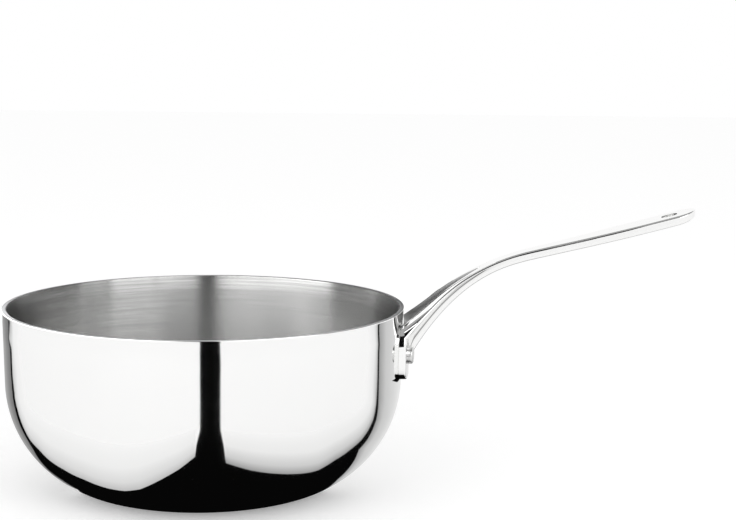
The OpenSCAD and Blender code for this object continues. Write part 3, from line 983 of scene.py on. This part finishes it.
def card_finish(name):
    """Gives back as much light as the card's own tone attribute says, from 0 for black to 1 for white."""
    material = bpy.data.materials.new(name)
    material.use_nodes = True
    nodes, links = material.node_tree.nodes, material.node_tree.links
    board = nodes["Principled BSDF"]
    board.inputs["Base Color"].default_value = (0, 0, 0, 1)
    board.inputs["Specular IOR Level"].default_value = 0
    board.inputs["Emission Color"].default_value = (1, 1, 1, 1)
    tone = nodes.new("ShaderNodeAttribute")
    tone.attribute_name = "tone"
    links.new(tone.outputs["Fac"], board.inputs["Emission Strength"])
    return material


CARD_FINISH = card_finish("card")


def card(name, points, faces, tones):
    """A card that only reflections see, with one tone for each point."""
    item = flat_stage(name, points, faces, CARD_FINISH)
    item.data.attributes.new("tone", "FLOAT", "POINT").data.foreach_set("value", tones)
    item.visible_camera = item.visible_diffuse = item.visible_shadow = item.visible_transmission = False
    print(f"{name}: {len(faces)} faces, tones {min(tones):.3f} to {max(tones):.2f}")


def plain_card(name, points, tone):
    """A card of one tone, from the points round its border."""
    card(name, points, [tuple(range(len(points)))], [tone] * len(points))


def strip_card(name, borders, tones):
    """A card between several borders with as many points each, and one tone for each border."""
    count = len(borders[0])
    points = [(x, y, STRIP_Z) for border in borders for x, y in border]
    faces = [
        (b * count + i, b * count + i + 1, (b + 1) * count + i + 1, (b + 1) * count + i)
        for b in range(len(borders) - 1) for i in range(count - 1)
    ]
    card(name, points, faces, [tone for tone in tones for _ in range(count)])


# %% [markdown]
# ## The black card round the foot
# One black card lies round the pan's foot. On the metal it becomes the black foot, and a tongue of it that runs out to
# the front becomes the dark stripe up the wall. Its borders were found by following light from the camera to the wall,
# off the wall and down to the floor, because a round mirror bends a shape too much to place it by eye. A standing card
# goes on with the stripe where the floor ends for the wall's upper part.

# %% Black cards
BLACK, STRIPE_BLACK, STRIPE_CARD_Y = 0.002, 0.004, -900

left_front = [
    (-373, 323), (-347, 214), (-289, 156), (-255, 108), (-194, 52), (-153, 19), (-124, -4), (-109, -22), (-94, -34),
    (-79, -48), (-62, -60), (-45, -68), (-36, -73), (-28, -80), (-18, -94), (-7, -109), (4, -127)
]
gap = [
    (6, -153), (13, -213), (17, -286), (20, -334), (22, -382), (24, -414), (26, -443), (26, -900), (215, -900),
    (150, -600), (105, -446), (101, -430), (94, -402), (86, -372), (74, -326), (62, -278), (45, -207), (34, -148)
]
right_front = [
    (27, -113), (40, -97), (55, -80), (70, -62), (75, -57), (90, -48), (106, -34), (122, -18), (140, -4), (164, 12),
    (261, 64), (311, 98), (389, 145), (430, 172)
]
right_back = [
    (425, 184), (384, 155), (306, 106), (251, 70), (160, 21), (137, 6), (120, -6), (106, -19), (93, -19), (82, -21),
    (72, -24), (61, -21)
]
left_back = [
    (-61, -36), (-73, -26), (-84, -12), (-96, -6), (-109, -4), (-123, 6), (-149, 31), (-186, 64), (-243, 120),
    (-278, 169), (-333, 230), (-372, 325)
]
foot_outline = left_front + gap + right_front + right_back + [(40, 20), (-40, 20)] + left_back
plain_card("foot_card", [(x, y, CARD_Z) for x, y in foot_outline], BLACK)
stripe_outline = [(23, 0), (215, 0), (215, 60), (200, 130), (200, 1300), (-13, 1300), (-13, 120), (23, 60)]
plain_card("camera_card", [(x, STRIPE_CARD_Y, z) for x, z in stripe_outline], STRIPE_BLACK)

# %% [markdown]
# ## Soft borders
# The white panels on the wall don't end at the black in one step. They darken softly towards it along their lower
# edges, and the strips at the far left and right are grey. So grey cards go on where the black one ends: those at the
# back fan out from its borders round the pan, and those in front are the same borders, drawn out wider.

# %% Grey cards
LEFT_TURNS, LEFT_TONES = (0, -12, -30, -60), (0.2, 0.35, 0.62, 0.95)
RIGHT_TURNS, RIGHT_TONES = (0, 8, 25, 60), (0.35, 0.62, 0.75, 0.95)
HALO_SCALES, LEFT_HALO, RIGHT_HALO = (1, 1.1, 1.3, 1.8), (0.55, 0.76, 0.92, 1), (0.36, 0.66, 0.9, 1)


def swung(border, angle):
    """A border turned about the pan's axis."""
    return [(x * cos(angle) - y * sin(angle), x * sin(angle) + y * cos(angle)) for x, y in border]


def drawn_out(border, scale):
    """A border drawn out from the pan's axis."""
    return [(x * scale, y * scale) for x, y in border]


strip_card("left_card", [swung(left_back, angle) for angle in LEFT_TURNS], LEFT_TONES)
strip_card("right_card", [swung(right_back, angle) for angle in RIGHT_TURNS], RIGHT_TONES)
strip_card("left_halo", [drawn_out(left_front, scale) for scale in HALO_SCALES], LEFT_HALO)
strip_card("right_halo", [drawn_out(right_front, scale) for scale in HALO_SCALES], RIGHT_HALO)

# %% [markdown]
# ## A collar over the rim
# The satin inside smears every reflection upright, so only the order of light and dark round the pan tells there. A
# collar of cards stands just above and outside the rim and holds that order: dark at the handle and behind, bright at
# the left and in front, with one narrow dark gap that makes the dark stripe on the far wall. The tones above 1 make up
# for what the brushed metal swallows. They were found by trying: render, compare, correct.

# %% Collar
COLLAR_R, COLLAR_LOW, COLLAR_HIGH, COLLAR_STEPS = 125, 98, 170, 150
# Angle from the handle round the pan, and the tone there.
COLLAR = [
    (28, 0.003), (79, 0.003), (95, 0.49), (108, 0.64), (117, 0.003), (152, 0.003), (156, 0.3), (163, 3.8), (171, 3.9),
    (191, 3.5), (210, 4), (228, 3.6), (246, 4), (254.5, 3.7), (261.5, 2.8), (265.7, 1.3), (269, 0.003), (278.5, 0.003),
    (281, 1.2), (284.5, 2.3), (297, 2.6), (306, 2.7), (314.5, 2.3), (319.5, 1)
]

collar_turns = np.linspace(COLLAR[0][0], COLLAR[-1][0], COLLAR_STEPS + 1)
collar_tones = np.interp(collar_turns, *zip(*COLLAR))
collar_points = [(COLLAR_R * cos(a), COLLAR_R * sin(a), z) for z in (COLLAR_LOW, COLLAR_HIGH) for a in collar_turns]
row = COLLAR_STEPS + 1
collar_faces = [(i, i + 1, row + i + 1, row + i) for i in range(COLLAR_STEPS)]
card("collar", collar_points, collar_faces, [*collar_tones, *collar_tones])

# %% [markdown]
# ## Two cards at the handle
# The root's sloping brow would reflect the dark band of the world. A bright card above it leaves only a thin line of
# dark. A small black card right under the flange darkens the rounded lower end of its edge, where the real one mirrors
# something dark. Both lie where hardly any other part of the metal can see them from the camera's side.

# %% Cards at the handle
OVER_Z, OVER_TONE = 200, 1.2
UNDER_Z = 56.1

over_outline = [(5, -60), (30, -62), (52, -52), (62, -42), (74, -20), (84, 20), (114, 40), (114, 95), (5, 95)]
plain_card("over_root", [(x, y, OVER_Z) for x, y in over_outline], OVER_TONE)
under_outline = [(96.5, -21), (101, -21), (102, -8), (97.5, -8)]
plain_card("under_flange", [(x, y, UNDER_Z) for x, y in under_outline], BLACK)
